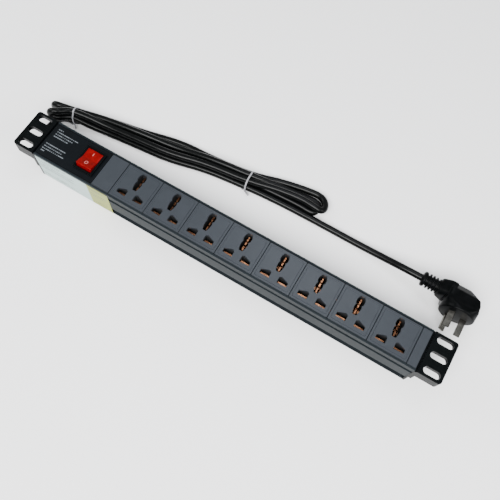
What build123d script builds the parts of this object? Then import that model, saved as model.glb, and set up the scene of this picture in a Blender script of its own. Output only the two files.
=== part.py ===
from build123d import *
from math import cos, pi, radians, sin, tan
import os

# Rack power strip: a 19 inch, one rack unit aluminium channel with eight universal
# outlets, an illuminated rocker switch and a corded right-angle plug.
# Millimetres, +Z up. The strip lies on its back: X runs along it, the outlets face +Z,
# and the origin is the middle of the back face.

# ---------------------------------------------------------------- driving dimensions
PANEL_L = 482.6          # 19 inch panel, ear to ear
PANEL_W = 44.4           # one rack unit
PANEL_H = 44.4           # back face to front face
EAR_L = 23.8             # ear, measured along the panel
EAR_T = 15.5             # depth of the moulded ear
FLANGE_T = 2.0           # plate of the end cap that closes the channel
SLOT_PITCH = 15.875      # vertical hole spacing of a rack rail
SLOT_L, SLOT_W = 17.0, 7.0
SLOT_INSET = 11.6        # slot centre from the outer edge of the ear

EXT_W = 44.0             # width of the channel
EXT_L = PANEL_L - 2 * EAR_L - 2 * FLANGE_T
FACE_Z = 44.2            # top of the raised panels
RIM_Z = FACE_Z - 0.5     # border round each raised panel
LEDGE_Z = 37.2           # ledge inside the channel that carries the inserts
INSERT_W = 39.4          # width of every insert between the lips
INSERT_WALL = 1.6
INSERT_TOP = 2.8         # thickness of an insert under its raised panel

OUTLETS = 8
PITCH = 41.4             # outlet pitch
FIRST_X = -104.8         # centre of the first outlet
OUTLET_GAP = 0.2         # half of the gap between neighbouring outlets
CONTACT_Y = -11.0        # line of the live and neutral contacts
CONTACT_X = 9.8          # contact centre, either side of the outlet centre

BUS_Z, BUS_T = 24.1, 0.8  # underside and thickness of the busbars
BASE_Z = BUS_Z + BUS_T   # underside of the outlet bases

SWITCH_X, SWITCH_Y = -161.4, 0.7
PIVOT_Z = 43.65          # rocker axis
ROCKER_TILT = -11.0      # switched on: the far half is pressed in
TEETER_Z = 29.8
TEETER_TILT = 8.0

GLAND_Y, GLAND_Z = 7.0, 13.0
CORD_D = 7.6
CORD_R = CORD_D / 2
WIRE_R = 1.2

PLUG_X, PLUG_Z, PLUG_R = 232.0, 18.7, 18.6
PLUG_FACE_Y = 56.0
RELIEF_Y = 75.2          # axis of the plug's strain relief
PIN_W, PIN_T = 6.35, 1.6

os.makedirs("parts", exist_ok=True)
PIECES = []


def save(builder, name):
    """Label a finished piece, write its STEP file and remember it for the report."""
    builder.part.label = name
    export_step(builder.part, f"parts/{name}.step")
    PIECES.append(name)


# ---------------------------------------------------------------- aluminium channel
HALF_PROFILE = [
    (0, 0), (22, 0), (22, 2.2), (19, 2.2), (19, 11.5), (22, 11.5), (22, 31.2), (20.6, 31.2),
    (20.6, 36.2), (22, 36.2), (22, 44.4), (20.2, 44.4), (20.2, LEDGE_Z), (18.8, LEDGE_Z),
    (18.8, 29.6), (20.3, 29.6), (20.3, 13.2), (17.3, 13.2), (17.3, 2), (0, 2),
]
BOSS_Y, BOSS_Z, BOSS_R, BOSS_BORE_R = 14.2, 5.0, 3.4, 1.55
BOND_X, BOND_Y = -172.0, 5.0     # earth bonding screw on the channel floor
BOND_BORE_Z = 0.5

with BuildPart() as housing_extrusion:
    with BuildSketch(Plane.YZ.offset(-EXT_L / 2)) as profile:
        with BuildLine():
            Polyline(*HALF_PROFILE, close=True)
        make_face()
        mirror(about=Plane.YZ)
        corners = profile.vertices().filter_by(lambda v: abs(v.X) > EXT_W / 2 - 0.01)
        fillet(corners, 0.5)
        with Locations((BOSS_Y, BOSS_Z), (-BOSS_Y, BOSS_Z)):
            Circle(BOSS_R)
            Circle(BOSS_BORE_R, mode=Mode.SUBTRACT)
    extrude(amount=EXT_L)
    with BuildSketch(Plane.XY.offset(BOND_BORE_Z)):
        with Locations((BOND_X, BOND_Y)):
            Circle(1.5)
    extrude(amount=2, mode=Mode.SUBTRACT)
save(housing_extrusion, "housing_extrusion")

# ---------------------------------------------------------------- end caps with ears
FLANGE_X = EXT_L / 2
EAR_X = FLANGE_X + FLANGE_T
EAR_END = PANEL_L / 2
EAR_MID = (EAR_X + EAR_END) / 2
EAR_Z = PANEL_H - EAR_T
EAR_WALL, EAR_ROOF = 2.4, 6.0
FLANGE_TOP = PANEL_H - 2.6
PAD_Z, PAD_T = 16.0, 2.5
SPIGOT_Z, SPIGOT_H, SPIGOT_W, SPIGOT_L = 18.2, 10.9, 39.6, 8.0
GLAND_BORE_R, GLAND_SEAT_R = 5.2, 7.3


def end_cap(side):
    """Moulded cap: plate over the channel's end, ear with a wall along one side, pad below it, inner spigot."""
    with BuildPart() as cap:
        with BuildSketch(Plane.XY):
            with Locations((side * (FLANGE_X + FLANGE_T / 2), 0)):
                Rectangle(FLANGE_T, PANEL_W)
        extrude(amount=FLANGE_TOP)
        with BuildSketch(Plane.XY.offset(PAD_Z)):
            with Locations((side * (EAR_X + PAD_T / 2), 0)):
                Rectangle(PAD_T, PANEL_W)
        extrude(amount=EAR_Z - PAD_Z)
        with BuildSketch(Plane.XY.offset(EAR_Z)) as outline:
            with Locations((side * EAR_MID, 0)):
                Rectangle(EAR_L, PANEL_W)
            outer = outline.vertices().filter_by(lambda v: abs(v.X) > EAR_END - 0.1)
            fillet(outer, 3.0)
        extrude(amount=EAR_T)
        rims = cap.edges().filter_by(lambda e: e.center().Z > PANEL_H - 0.01)
        fillet(rims, 0.6)
        with BuildSketch(Plane.XY.offset(EAR_Z)):
            with Locations((side * (EAR_MID + EAR_WALL), EAR_WALL)):
                Rectangle(EAR_L, PANEL_W)
        extrude(amount=EAR_T - EAR_ROOF, mode=Mode.SUBTRACT)
        slots = [(side * (EAR_END - SLOT_INSET), row * SLOT_PITCH) for row in (-1, 0, 1)]
        with BuildSketch(Plane.XY.offset(EAR_Z)):
            with Locations(*slots):
                SlotOverall(SLOT_L, SLOT_W)
        extrude(amount=EAR_T, mode=Mode.SUBTRACT)
        with BuildSketch(Plane.XY.offset(SPIGOT_Z)):
            with Locations((side * (FLANGE_X - SPIGOT_L / 2), 0)):
                Rectangle(SPIGOT_L, SPIGOT_W)
                Rectangle(SPIGOT_L, SPIGOT_W - 3.2, mode=Mode.SUBTRACT)
        extrude(amount=SPIGOT_H)
        if side < 0:
            with BuildSketch(Plane.YZ.offset(-EAR_X - PAD_T)):
                with Locations((GLAND_Y, GLAND_Z)):
                    Circle(GLAND_SEAT_R)
            extrude(amount=PAD_T, mode=Mode.SUBTRACT)
        with BuildSketch(Plane.YZ.offset(side * FLANGE_X - 5)):
            with Locations((BOSS_Y, BOSS_Z), (-BOSS_Y, BOSS_Z)):
                Circle(1.65)
            if side < 0:
                with Locations((GLAND_Y, GLAND_Z)):
                    Circle(GLAND_BORE_R)
        extrude(amount=10, mode=Mode.SUBTRACT)
    return cap


save(end_cap(-1), "left_end_cap")
save(end_cap(1), "right_end_cap")

SCREW_HEAD_R, SCREW_HEAD_T, SCREW_R, SCREW_L = 2.8, 1.9, 1.45, 14.0


def end_screws(side):
    """Two cross-head screws that hold an end cap to the channel's screw bosses."""
    head_plane = Plane(origin=(side * EAR_X, 0, 0), x_dir=(0, 1, 0), z_dir=(side, 0, 0))
    with BuildPart() as screws:
        with BuildSketch(head_plane):
            with Locations((BOSS_Y, side * BOSS_Z), (-BOSS_Y, side * BOSS_Z)):
                Circle(SCREW_HEAD_R)
        extrude(amount=SCREW_HEAD_T)
        rims = screws.edges().filter_by(lambda e: abs(e.center().X) > EAR_X + SCREW_HEAD_T - 0.01)
        fillet(rims, 0.7)
        with BuildSketch(head_plane):
            with Locations((BOSS_Y, side * BOSS_Z), (-BOSS_Y, side * BOSS_Z)):
                Circle(SCREW_R)
        extrude(amount=-SCREW_L)
        with BuildSketch(head_plane.offset(SCREW_HEAD_T)):
            with Locations((BOSS_Y, side * BOSS_Z), (-BOSS_Y, side * BOSS_Z)):
                Rectangle(3.2, 0.7)
                Rectangle(0.7, 3.2)
        extrude(amount=-1.1, mode=Mode.SUBTRACT)
    return screws


save(end_screws(-1), "left_end_screws")
save(end_screws(1), "right_end_screws")

# ---------------------------------------------------------------- inserts in the channel
PANEL_START = -FLANGE_X + 0.3
PANEL_END = -146.2
OUTLETS_START = FIRST_X - PITCH / 2
OUTLETS_END = FIRST_X + (OUTLETS - 0.5) * PITCH
INSERT_Z = LEDGE_Z + 0.1
BEZEL_X, BEZEL_Y, BEZEL_T = 23.5, 28.5, 2.2
SWITCH_W, SWITCH_H = 20.6, 26.4      # body of the switch, across and along its rocking
CUTOUT_GAP = 0.2


def insert_shell(x_low, x_high, border=0.0):
    """Open-backed cover between the lips, with a raised panel inside a border if wanted."""
    middle, length = (x_low + x_high) / 2, x_high - x_low
    with BuildPart() as shell:
        with BuildSketch(Plane.XY.offset(INSERT_Z)):
            with Locations((middle, 0)):
                Rectangle(length, INSERT_W)
        extrude(amount=(RIM_Z if border else FACE_Z) - INSERT_Z)
        if border:
            with BuildSketch(Plane.XY.offset(RIM_Z)):
                with Locations((middle, 0)):
                    RectangleRounded(length - 2 * border, INSERT_W - 2 * border, 1.4)
            extrude(amount=FACE_Z - RIM_Z, taper=35)
        top = shell.edges().filter_by(lambda e: abs(e.center().Z - (RIM_Z if border else FACE_Z)) < 0.01)
        outer = top.filter_by(lambda e: abs(e.center().Y) > INSERT_W / 2 - 0.01
                              or abs(e.center().X - middle) > length / 2 - 0.01)
        chamfer(outer, 0.35)
        with BuildSketch(Plane.XY.offset(INSERT_Z)):
            with Locations((middle, 0)):
                Rectangle(length - 2 * INSERT_WALL, INSERT_W - 2 * INSERT_WALL)
        extrude(amount=FACE_Z - INSERT_TOP - INSERT_Z, mode=Mode.SUBTRACT)
    return shell


with BuildPart() as control_panel:
    add(insert_shell(PANEL_START, PANEL_END).part)
    with BuildSketch(Plane.XY.offset(INSERT_Z)):
        with Locations((SWITCH_X, SWITCH_Y)):
            Rectangle(SWITCH_W + 2 * CUTOUT_GAP, SWITCH_H + 2 * CUTOUT_GAP)
    extrude(amount=FACE_Z - INSERT_Z + 1, mode=Mode.SUBTRACT)
save(control_panel, "control_panel")

save(insert_shell(PANEL_END + 0.4, OUTLETS_START - OUTLET_GAP), "blank_panel_left")
save(insert_shell(OUTLETS_END + OUTLET_GAP, FLANGE_X - 0.3), "blank_panel_right")

# ---------------------------------------------------------------- outlets
BORDER = 2.3
# Half of the live or neutral opening: a wide inner side for upright blades, narrowing
# outwards over a slanted blade and a flat one. Points run outwards from the centre line.
PIN_HOLE = [(4.4, -7.6), (6.6, -6.1), (14.8, -9.2), (14.8, -13.3), (4.4, -13.9)]
EARTH_HALF = [(2.4, 16.4), (4.0, 13.0), (4.1, 9.0), (2.9, 7.2), (3.6, 5.0), (3.2, 0.6), (2.0, -3.6)]
EARTH_HOLE = EARTH_HALF + [(-x, y) for x, y in reversed(EARTH_HALF)]


def outlet_face(centre):
    """Cover of one outlet, with its three openings."""
    half = PITCH / 2 - OUTLET_GAP
    with BuildPart() as face:
        add(insert_shell(centre - half, centre + half, border=BORDER).part)
        with BuildSketch(Plane.XY.offset(INSERT_Z)) as openings:
            for sign in (-1, 1):
                with BuildLine():
                    Polyline(*[(centre + sign * x, y) for x, y in PIN_HOLE], close=True)
                make_face()
            with BuildLine():
                Polyline(*[(centre + x, y) for x, y in EARTH_HOLE], close=True)
            make_face()
            fillet(openings.vertices(), 0.45)
        extrude(amount=FACE_Z - INSERT_Z + 1, mode=Mode.SUBTRACT)
    return face


BASE_L, BASE_W = 37.4, 35.6
BASE_TOP = FACE_Z - INSERT_TOP - 0.1
PIN_POCKET = (11.4, 9.0)
EARTH_POCKET = (8.8, 21.0)
EARTH_POCKET_Y = 6.4


def outlet_base(centre):
    """Lower moulding of one outlet: a block with a well for each pair of contacts."""
    with BuildPart() as base:
        with BuildSketch(Plane.XY.offset(BASE_Z)):
            with Locations((centre, 0)):
                Rectangle(BASE_L, BASE_W)
            with Locations((centre - 10.1, CONTACT_Y), (centre + 10.1, CONTACT_Y)):
                Rectangle(*PIN_POCKET, mode=Mode.SUBTRACT)
            with Locations((centre, EARTH_POCKET_Y)):
                Rectangle(*EARTH_POCKET, mode=Mode.SUBTRACT)
        extrude(amount=BASE_TOP - BASE_Z)
    return base


OUTLET_X = [FIRST_X + index * PITCH for index in range(OUTLETS)]
for number, centre in enumerate(OUTLET_X, start=1):
    save(outlet_face(centre), f"outlet_face_{number}")
    save(outlet_base(centre), f"outlet_base_{number}")

# ---------------------------------------------------------------- busbars and carrier
BUS_START = -128.0
BUS_END = OUTLETS_END - 2.0
CLIP_L = 9.6
LEAF_T = 0.5
# One leaf of a clip, from its root to its closed mouth: (distance from the middle, height).
LEAF = [(1.75, BUS_Z + 0.4), (1.9, 34.5), (1.6, 36.6), (0.4, 38.8)]
EARTH_CLIPS = [(14.4, 2.6), (11.4, 2.4), (7.2, 3.2), (1.6, 4.0)]   # centre and length of each earth clip
EARTH_SPAN, EARTH_SPAN_Y, EARTH_FOOT_W = 16.1, 7.65, 3.6


def clip_profile():
    """Draw a pair of leaves and their foot in the current sketch."""
    outside = [(w + LEAF_T / 2, z) for w, z in LEAF]
    inside = [(w - LEAF_T / 2, z) for w, z in reversed(LEAF)]
    for sign in (-1, 1):
        Polygon(*[(sign * w, z) for w, z in outside + inside], align=None)
    with Locations((0, BUS_Z + BUS_T / 2)):
        Rectangle(2 * LEAF[0][0] + LEAF_T, BUS_T)


def busbar(strip_low, strip_high, clip_side):
    """Strip along the outlets with a clip under every live (-1), neutral (1) or earth (0) opening."""
    with BuildPart() as bar:
        with BuildSketch(Plane.XY.offset(BUS_Z)):
            with Locations(((BUS_START + BUS_END) / 2, (strip_low + strip_high) / 2)):
                Rectangle(BUS_END - BUS_START, strip_high - strip_low)
            if clip_side:
                edge = strip_high if clip_side < 0 else strip_low
                for centre in OUTLET_X:
                    with Locations((centre + clip_side * CONTACT_X, (edge + CONTACT_Y) / 2)):
                        Rectangle(CLIP_L, abs(edge - CONTACT_Y))
            else:
                with Locations(*[(centre, EARTH_SPAN_Y) for centre in OUTLET_X]):
                    Rectangle(EARTH_FOOT_W, EARTH_SPAN)
        extrude(amount=BUS_T)
        for centre in OUTLET_X:
            if clip_side:
                start = centre + clip_side * CONTACT_X - CLIP_L / 2
                clip_plane = Plane(origin=(start, CONTACT_Y, 0), x_dir=(0, 1, 0), z_dir=(1, 0, 0))
                with BuildSketch(clip_plane):
                    clip_profile()
                extrude(amount=CLIP_L)
            else:
                for middle, length in EARTH_CLIPS:
                    clip_end = (centre, middle + length / 2, 0)
                    clip_plane = Plane(origin=clip_end, x_dir=(1, 0, 0), z_dir=(0, -1, 0))
                    with BuildSketch(clip_plane):
                        clip_profile()
                    extrude(amount=length)
    return bar


save(busbar(-17.2, -14.0, -1), "live_busbar")
save(busbar(-7.6, -4.6, 1), "neutral_busbar")
save(busbar(5.5, 8.5, 0), "earth_busbar")

with BuildPart() as busbar_carrier:
    with BuildSketch(Plane.YZ.offset(-126)):
        with Locations((0, BUS_Z - 1)):
            Rectangle(40, 2)
        with Locations((19.2, (13.3 + BUS_Z) / 2), (-19.2, (13.3 + BUS_Z) / 2)):
            Rectangle(1.6, BUS_Z - 13.3)
    extrude(amount=BUS_END + 126)
save(busbar_carrier, "busbar_carrier")

# ---------------------------------------------------------------- rocker switch
HOUSING_Z, FLOOR_T = 26.0, 1.2
CAVITY_X, CAVITY_Y = 18.6, 24.4
ROCKER_W = 17.9
ROCKER_PIN_R, ROCKER_PIN_L = 1.2, 20.0
BLADE_W, BLADE_T, BLADE_Z = 4.8, 0.8, 18.0
TERMINALS = [(-7.0, 28.6), (0.0, 29.6), (10.4, 31.0)]   # offset along Y and top of each blade
LAMP_X, LAMP_Z, LAMP_R, LAMP_L = SWITCH_X + 6.2, 34.6, 1.7, 9.0

with BuildPart() as switch_housing:
    with BuildSketch(Plane.XY.offset(HOUSING_Z)):
        with Locations((SWITCH_X, SWITCH_Y)):
            Rectangle(SWITCH_W, SWITCH_H)
    extrude(amount=FACE_Z - HOUSING_Z)
    with BuildSketch(Plane.XY.offset(FACE_Z)):
        with Locations((SWITCH_X, SWITCH_Y)):
            RectangleRounded(BEZEL_X, BEZEL_Y, 1.2)
    extrude(amount=BEZEL_T)
    rims = switch_housing.edges().filter_by(lambda e: e.center().Z > FACE_Z + BEZEL_T - 0.01)
    fillet(rims, 0.7)
    with BuildSketch(Plane.XY.offset(HOUSING_Z + FLOOR_T)):
        with Locations((SWITCH_X, SWITCH_Y)):
            Rectangle(CAVITY_X, CAVITY_Y)
    extrude(amount=25, mode=Mode.SUBTRACT)
    with BuildSketch(Plane.XY.offset(HOUSING_Z)):
        with Locations(*[(SWITCH_X, SWITCH_Y + offset) for offset, _ in TERMINALS]):
            Rectangle(BLADE_W + 0.1, BLADE_T + 0.1)
    extrude(amount=FLOOR_T, mode=Mode.SUBTRACT)
    with BuildSketch(Plane.YZ.offset(SWITCH_X - SWITCH_W / 2)):
        with Locations((SWITCH_Y, PIVOT_Z)):
            Circle(ROCKER_PIN_R + 0.08)
    extrude(amount=SWITCH_W, mode=Mode.SUBTRACT)
    with BuildSketch(Plane.XY.offset(HOUSING_Z + FLOOR_T)):
        with Locations((LAMP_X, SWITCH_Y)):
            Rectangle(2, 3)
    extrude(amount=LAMP_Z - LAMP_R - HOUSING_Z - FLOOR_T)
save(switch_housing, "switch_housing")

# The rocker is drawn level about its pivot and turned to its rest position.
ROCKER_TOP = [(-11.05, 5.2), (0, 3.05), (11.05, 5.2), (10.7, -3), (-10.7, -3)]
STEM_W, STEM_END = 6.0, -9.0
SPRING_TOP, SPRING_END, PLUNGER_TIP = -4.2, -7.0, -12.7


def tilted_plane(x, height, tilt):
    """Plane across the switch: local X along the rocking direction, local Y upwards."""
    across = (0, cos(radians(tilt)), sin(radians(tilt)))
    return Plane(origin=(x, SWITCH_Y, height), x_dir=across, z_dir=(1, 0, 0))


def stem_plane(depth):
    """Plane square to the rocker's stem, at a height below the pivot."""
    down = (0, sin(radians(ROCKER_TILT)), -cos(radians(ROCKER_TILT)))
    origin = (SWITCH_X, SWITCH_Y + depth * down[1], PIVOT_Z + depth * down[2])
    return Plane(origin=origin, x_dir=(1, 0, 0), z_dir=down)


with BuildPart() as switch_rocker:
    with BuildSketch(tilted_plane(SWITCH_X - ROCKER_W / 2, PIVOT_Z, ROCKER_TILT)):
        with BuildLine():
            Polyline(*ROCKER_TOP, close=True)
        make_face()
    extrude(amount=ROCKER_W)
    upper = switch_rocker.edges().filter_by(lambda e: e.center().Z > PIVOT_Z + 2.2)
    fillet(upper, 0.8)
    with BuildSketch(tilted_plane(SWITCH_X - STEM_W / 2, PIVOT_Z, ROCKER_TILT)):
        with Locations((0, (STEM_END - 3) / 2)):
            Rectangle(STEM_W, -3 - STEM_END)
    extrude(amount=STEM_W)
    with BuildSketch(tilted_plane(SWITCH_X - ROCKER_PIN_L / 2, PIVOT_Z, ROCKER_TILT)):
        Circle(ROCKER_PIN_R)
    extrude(amount=ROCKER_PIN_L)
    with BuildSketch(stem_plane(-STEM_END)):
        Circle(1.6)
    extrude(amount=STEM_END - SPRING_TOP, mode=Mode.SUBTRACT)
save(switch_rocker, "switch_rocker")

with BuildPart() as switch_spring:
    with BuildSketch(stem_plane(-SPRING_TOP)):
        Circle(1.45)
        Circle(1.05, mode=Mode.SUBTRACT)
    extrude(amount=SPRING_TOP - SPRING_END)
save(switch_spring, "switch_spring")

with BuildPart() as switch_plunger:
    with BuildSketch(stem_plane(-SPRING_END)):
        Circle(1.5)
    extrude(amount=SPRING_END - PLUNGER_TIP)
    fillet(switch_plunger.edges().sort_by(Axis.Z)[0], 1.0)
save(switch_plunger, "switch_plunger")

with BuildPart() as switch_teeter:
    with BuildSketch(tilted_plane(SWITCH_X - 2, TEETER_Z, TEETER_TILT)):
        with Locations((0, 0.35)):
            Rectangle(16, 0.7)
    extrude(amount=4)
save(switch_teeter, "switch_teeter")

with BuildPart() as switch_terminals:
    for offset, blade_top in TERMINALS:
        with BuildSketch(Plane.XY.offset(BLADE_Z)):
            with Locations((SWITCH_X, SWITCH_Y + offset)):
                Rectangle(BLADE_W, BLADE_T)
        extrude(amount=blade_top - BLADE_Z)
save(switch_terminals, "switch_terminals")

with BuildPart() as neon_lamp:
    with BuildSketch(Plane.XZ.offset(-SWITCH_Y - LAMP_L / 2)):
        with Locations((LAMP_X, LAMP_Z)):
            Circle(LAMP_R)
    extrude(amount=LAMP_L)
    fillet(neon_lamp.edges().filter_by(GeomType.CIRCLE), 1.2)
save(neon_lamp, "neon_lamp")

# ---------------------------------------------------------------- cords and wires


def corner_radii(points):
    """Largest even arcs that the runs on both sides of each corner leave room for."""
    radii = []
    for before, corner, after in zip(points, points[1:], points[2:]):
        first, second = Vector(*corner) - Vector(*before), Vector(*after) - Vector(*corner)
        half_turn = radians(first.get_angle(second)) / 2
        radii.append(0.45 * min(first.length, second.length) / tan(half_turn))
    return radii


def tube(points, radius, name):
    """Round cord or wire along straight runs joined by tangent arcs."""
    radii = corner_radii(points)
    with BuildPart() as body:
        with BuildLine() as path:
            FilletPolyline(*points, radius=radii)
        start = Vector(*points[0])
        with BuildSketch(Plane(origin=start, z_dir=Vector(*points[1]) - start)):
            Circle(radius)
        sweep()
    length = sum(edge.length for edge in path.edges())
    print(f"{name}: length {length:.1f}, radii {[round(r, 1) for r in radii]}, "
          f"volume ratio {body.part.volume / (pi * radius ** 2 * length):.4f}")
    save(body, name)


# The cord comes out of the left end cap under the ear and turns back towards the hank.
CORD_EXIT = [(-213.2, GLAND_Y, GLAND_Z), (-230.2, GLAND_Y, GLAND_Z), (-242.2, 19, 11), (-242.2, 35.5, 7.4)]
# Outside the hank it lies straight along the strip and rises to the plug's strain relief.
CORD_TAIL = [(20, 80.4, 3.8), (70, 81, 3.8), (116, 80.6, 4.3), (148, 78.6, 10), (171, 76, 16.8),
             (186.9, RELIEF_Y, PLUG_Z)]
tube(CORD_EXIT, CORD_R, "power_cord_exit")
tube(CORD_TAIL, CORD_R, "power_cord_tail")

RING_X = 9.5     # barrel ends of the earth ring, either side of its screw
WIRE_Z = BUS_Z + BUS_T / 2
LIVE_IN = [(-213.2, 5.2, 12), (-190, 4, 10.5), (-171, 1.5, 9), (SWITCH_X, SWITCH_Y, 11),
           (SWITCH_X, SWITCH_Y, BLADE_Z)]
SWITCHED = [(SWITCH_X, SWITCH_Y - 7, BLADE_Z), (SWITCH_X, SWITCH_Y - 7, 12), (-150, -12, 12),
            (-139, -15.6, 20), (-134, -15.6, WIRE_Z), (BUS_START, -15.6, WIRE_Z)]
NEUTRAL = [(-213.2, 7, 15.1), (-190, 7.5, 15), (-150, 5.5, 14), (-139, -5, 22), (-134, -6.1, WIRE_Z),
           (BUS_START, -6.1, WIRE_Z)]
EARTH_IN = [(-213.2, 8.8, 12), (-200, 8, 9), (-189, 5.5, 3.6), (BOND_X - RING_X, BOND_Y, 3.6)]
EARTH_OUT = [(BOND_X + RING_X, BOND_Y, 3.6), (-154, 6, 3.6), (-142, 7, 17), (-135, 7, WIRE_Z),
             (BUS_START, 7, WIRE_Z)]
tube(LIVE_IN, WIRE_R, "live_wire")
tube(SWITCHED, WIRE_R, "switched_live_wire")
tube(NEUTRAL, WIRE_R, "neutral_wire")
tube(EARTH_IN, WIRE_R, "earth_wire_in")
tube(EARTH_OUT, WIRE_R, "earth_wire_out")

with BuildPart() as earth_ring:
    with BuildSketch(Plane.XY.offset(2)):
        with Locations((BOND_X, BOND_Y)):
            Rectangle(2 * RING_X, 2.4)
            Circle(4)
            Circle(1.6, mode=Mode.SUBTRACT)
    extrude(amount=0.8)
    for sign in (-1, 1):
        with BuildSketch(Plane.XY.offset(2)):
            with Locations((BOND_X + sign * (RING_X - 2), BOND_Y)):
                Rectangle(4, 3.2)
        extrude(amount=3.2)
save(earth_ring, "earth_ring")

with BuildPart() as earth_screw:
    with BuildSketch(Plane.XY.offset(2.8)):
        with Locations((BOND_X, BOND_Y)):
            Circle(2.8)
    extrude(amount=2)
    fillet(earth_screw.edges().sort_by(Axis.Z)[-1], 0.7)
    with BuildSketch(Plane.XY.offset(0.7)):
        with Locations((BOND_X, BOND_Y)):
            Circle(1.45)
    extrude(amount=2.1)
    with BuildSketch(Plane.XY.offset(3.7)):
        with Locations((BOND_X, BOND_Y)):
            Rectangle(3.2, 0.7)
            Rectangle(0.7, 3.2)
    extrude(amount=2, mode=Mode.SUBTRACT)
save(earth_screw, "earth_screw")

# Gland: half profile along X as (distance outwards from the cap's face, radius).
GLAND_PROFILE = [(-4.5, 3.85), (-4.5, 6.2), (-2.05, 6.2), (-2.05, 5.1), (0.05, 5.1), (0.05, 7.0), (1.6, 7.0),
                 (2.2, 5.6), (4.9, 4.9), (4.9, 3.85)]
with BuildPart() as cord_gland:
    with BuildSketch(Plane.XY.offset(GLAND_Z)):
        with BuildLine():
            Polyline(*[(-EAR_X - out, GLAND_Y + radius) for out, radius in GLAND_PROFILE], close=True)
        make_face()
    revolve(axis=Axis((0, GLAND_Y, GLAND_Z), (1, 0, 0)))
save(cord_gland, "cord_gland")

# ---------------------------------------------------------------- folded cord and its ties
FAR_EDGE = [(-254, 46), (-246, 56.5), (-187, 70), (-118, 86.6), (-68, 89), (-23, 94), (26, 108.6), (46, 111)]
LOOP_END = [(46, 111), (66.5, 94), (58, 84.9)]
NEAR_EDGE = [(20, 75.8), (-40, 73.6), (-80, 68), (-110, 58.6), (-150, 55), (-195, 50), (-222, 45)]
HANK_H, NOSE_H = 15.4, 23.0
with BuildPart() as cord_hank:
    with BuildSketch(Plane.XY):
        with BuildLine():
            Spline(*FAR_EDGE)
            Spline(*LOOP_END)
            Polyline(LOOP_END[-1], (20, 84.9), NEAR_EDGE[0])
            Spline(*NEAR_EDGE)
            Polyline(NEAR_EDGE[-1], (-230, 38), (-236, 35.5), (-248, 35.5), FAR_EDGE[0])
        make_face()
    extrude(amount=HANK_H)
    with BuildSketch(Plane.XY.offset(HANK_H)):
        with BuildLine():
            Polyline((-251, 42), (-246, 54), (-218, 58), (-214, 50), (-222, 45.5), (-248, 38), close=True)
        make_face()
    extrude(amount=NOSE_H - HANK_H)
save(cord_hank, "cord_hank")

TIE_W, TIE_T = 2.0, 0.8


def twist_tie(x, near, far, height, name):
    """Plastic-covered wire tie over the bundle, down to the table on both sides."""
    with BuildPart() as tie:
        with BuildSketch(Plane.YZ.offset(x - TIE_W / 2)):
            with Locations(((near + far) / 2, (height + TIE_T) / 2)):
                Rectangle(far - near + 2 * TIE_T, height + TIE_T)
            with Locations(((near + far) / 2, height / 2)):
                Rectangle(far - near, height, mode=Mode.SUBTRACT)
        extrude(amount=TIE_W)
    save(tie, name)


twist_tie(-226, 41.6, 61.9, NOSE_H, "twist_tie_left")
twist_tie(-20, 73.2, 95.6, HANK_H, "twist_tie_right")

# ---------------------------------------------------------------- plug
SLAB_Y, SLAB_BACK_Y = 66.4, 84.8     # the handle of the plug, from the neck to its sloped end
SLAB_HALF, SLAB_CORNER_Y, SLAB_CHAMFER = 15.0, 76.0, 6.0  # half its height, and the chamfer along its back
SLAB_PLAN = [(213.8, SLAB_Y), (248.6, SLAB_Y), (248.6, 74), (244, 79.4), (234.5, SLAB_BACK_Y),
             (213.8, SLAB_BACK_Y)]
DRUM_END_Y = 75.0
NECK_X, NECK_END_X, NECK_R = 206.0, 214.0, 7.8
PIN_CENTRE_X = 230.3     # centre of the pin pattern
EARTH_REACH, LIVE_REACH, LIVE_TURN = 10.31, 7.92, 120
EARTH_L, LIVE_L = 19.0, 18.0

with BuildPart() as plug_body:
    with BuildSketch(Plane.XY.offset(PLUG_Z - SLAB_HALF)):
        with BuildLine():
            Polyline(*SLAB_PLAN, close=True)
        make_face()
    extrude(amount=2 * SLAB_HALF)
    rear = plug_body.edges().filter_by(lambda e: e.center().Y > SLAB_CORNER_Y)
    chamfer(rear.filter_by(lambda e: abs(e.center().Z - PLUG_Z) > SLAB_HALF - 0.01), SLAB_CHAMFER)
    with BuildSketch(Plane.XZ.offset(-PLUG_FACE_Y)):
        with Locations((PLUG_X, PLUG_Z)):
            Circle(PLUG_R)
    extrude(amount=-(DRUM_END_Y - PLUG_FACE_Y))
    fillet(plug_body.edges().filter_by(lambda e: e.center().Y < PLUG_FACE_Y + 0.01), 1.2)
    with BuildSketch(Plane.YZ.offset(NECK_X)):
        with Locations((RELIEF_Y, PLUG_Z)):
            Circle(NECK_R)
    with BuildSketch(Plane.YZ.offset(NECK_END_X)):
        with Locations(((SLAB_Y + SLAB_BACK_Y) / 2, PLUG_Z)):
            RectangleRounded(SLAB_BACK_Y - SLAB_Y - 0.6, 17, 6)
    loft()
save(plug_body, "plug_body")

# Strain relief as (distance along X from the cord end, radius): a rounded bead and four ribs.
RELIEF_X, RELIEF_L, RIB_R, CORE_R = 186.9, 19.1, 8.1, 6.4
with BuildPart() as plug_strain_relief:
    with BuildSketch(Plane.XY.offset(PLUG_Z)):
        with Locations((RELIEF_X + RELIEF_L / 2, RELIEF_Y + CORE_R / 2)):
            Rectangle(RELIEF_L, CORE_R)
        with Locations((RELIEF_X + 2.2, RELIEF_Y + RIB_R / 2)):
            Rectangle(4.4, RIB_R)
        for rib in range(4):
            with Locations((RELIEF_X + 6.9 + 3.5 * rib, RELIEF_Y + RIB_R / 2)):
                Rectangle(1.8, RIB_R)
    revolve(axis=Axis((0, RELIEF_Y, PLUG_Z), (1, 0, 0)))
    bead = plug_strain_relief.edges().filter_by(GeomType.CIRCLE).sort_by(Axis.X)[0]
    fillet(bead, 2.0)
save(plug_strain_relief, "plug_strain_relief")


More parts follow.
